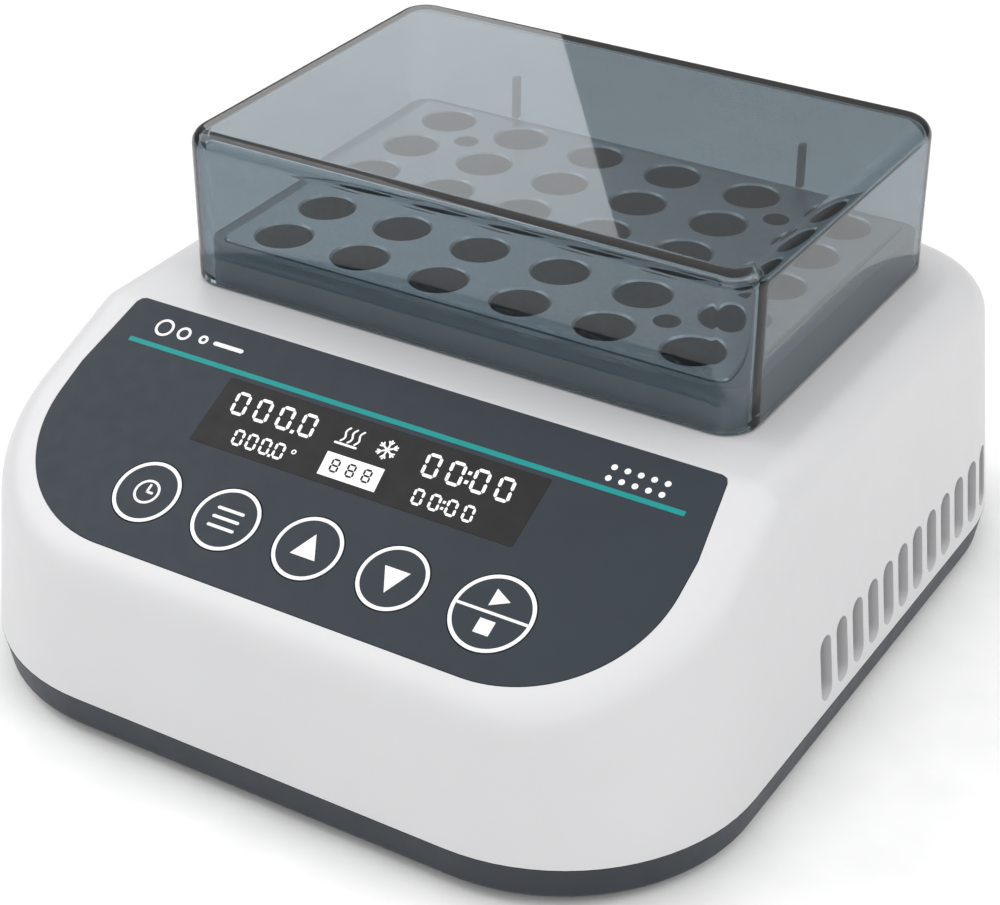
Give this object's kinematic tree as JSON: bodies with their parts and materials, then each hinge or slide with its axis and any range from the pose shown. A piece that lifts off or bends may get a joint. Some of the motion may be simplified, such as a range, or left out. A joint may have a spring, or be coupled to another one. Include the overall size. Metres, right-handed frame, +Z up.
{
  "type": "dry block heater",
  "caption": "Benchtop dry block heater with an aluminium block of tube wells under a clear lift-off cover, a sloped control panel with display and keys, side vents and a rear mains inlet.",
  "frame": {"origin": "on the bench, under the middle of the housing", "axes": "+Z up, -Y towards the user at the control panel, +X to the user's right"},
  "size_m": [0.158, 0.177, 0.0927],
  "materials": {
    "shell_white": "satin moulded ABS",
    "tray_slate": "satin moulded ABS",
    "overlay_slate": "fine textured printed film",
    "window_tint": "clear dark display window",
    "cover_smoke": "clear smoky moulded polycarbonate",
    "block_aluminium": "bead-blasted, anodised",
    "plate_aluminium": "machined",
    "collar_grey": "moulded heat-resistant plastic",
    "lcd_black": "display glass, dark",
    "backlight_white": "light guide",
    "board_green": "solder mask",
    "black_plastic": "moulded nylon",
    "rubber_black": "moulded rubber",
    "screw_steel": "zinc plated",
    "module_ceramic": "ceramic faced modules",
    "foam": "insulating foam board",
    "transformer_yellow": "insulating tape",
    "capacitor_blue": "shrink sleeve"
  },
  "bodies": {
    "housing": {"upper_shell": "shell_white", "base_tray": "tray_slate", "rubber_feet": "rubber_black", "housing_screws": "screw_steel", "control_overlay": "overlay_slate", "display_window": "window_tint", "lcd_module": "lcd_black", "lcd_backlight": "backlight_white", "control_board": "board_green", "key_switches": "black_plastic", "board_screws": "screw_steel", "block_collar": "collar_grey", "heating_block": "block_aluminium", "block_screws": "screw_steel", "heater_plate": "plate_aluminium", "heater_modules": "module_ceramic", "heat_sink": "plate_aluminium", "insulation_frame": "foam", "temperature_sensor": "screw_steel", "thermal_cutout": "black_plastic", "fan_frame": "black_plastic", "power_board": "board_green", "board_standoffs": "screw_steel", "transformer": "transformer_yellow", "capacitors": "capacitor_blue", "inlet_body": "black_plastic", "inlet_pins": "screw_steel", "fuse_holder": "black_plastic", "fuse_cap": "black_plastic", "switch_frame": "black_plastic"},
    "fan_rotor": {"fan_rotor": "black_plastic"},
    "switch_rocker": {"switch_rocker": "black_plastic"},
    "tube_cover": {"tube_cover": "cover_smoke"},
    "program_key": {"program_key": "overlay_slate"},
    "menu_key": {"menu_key": "overlay_slate"},
    "up_key": {"up_key": "overlay_slate"},
    "down_key": {"down_key": "overlay_slate"},
    "start_key": {"start_key": "overlay_slate"}
  },
  "joints": [
    {"name": "cover_lift", "type": "slide", "parent": "housing", "child": "tube_cover", "axis": [0, 0, 1], "range_m": [0, 0.12]},
    {"name": "fan_spin", "type": "hinge", "parent": "housing", "child": "fan_rotor", "pos_m": [-0.0655, 0.0183, 0.026], "axis": [1, 0, 0], "continuous": true},
    {"name": "power_rock", "type": "hinge", "parent": "housing", "child": "switch_rocker", "pos_m": [0.024, 0.0829, 0.023], "axis": [0, 0, 1], "range_deg": [-12, 0]},
    {"name": "program_press", "type": "slide", "parent": "housing", "child": "program_key", "axis": [0, 0.4226, -0.9063], "range_m": [0, 0.0005], "stiffness_N_per_m": 800, "springref_m": -0.0003},
    {"name": "menu_press", "type": "slide", "parent": "housing", "child": "menu_key", "axis": [0, 0.4226, -0.9063], "range_m": [0, 0.0005], "stiffness_N_per_m": 800, "springref_m": -0.0003},
    {"name": "up_press", "type": "slide", "parent": "housing", "child": "up_key", "axis": [0, 0.4226, -0.9063], "range_m": [0, 0.0005], "stiffness_N_per_m": 800, "springref_m": -0.0003},
    {"name": "down_press", "type": "slide", "parent": "housing", "child": "down_key", "axis": [0, 0.4226, -0.9063], "range_m": [0, 0.0005], "stiffness_N_per_m": 800, "springref_m": -0.0003},
    {"name": "start_press", "type": "slide", "parent": "housing", "child": "start_key", "axis": [0, 0.4226, -0.9063], "range_m": [0, 0.0005], "stiffness_N_per_m": 800, "springref_m": -0.0003}
  ]
}
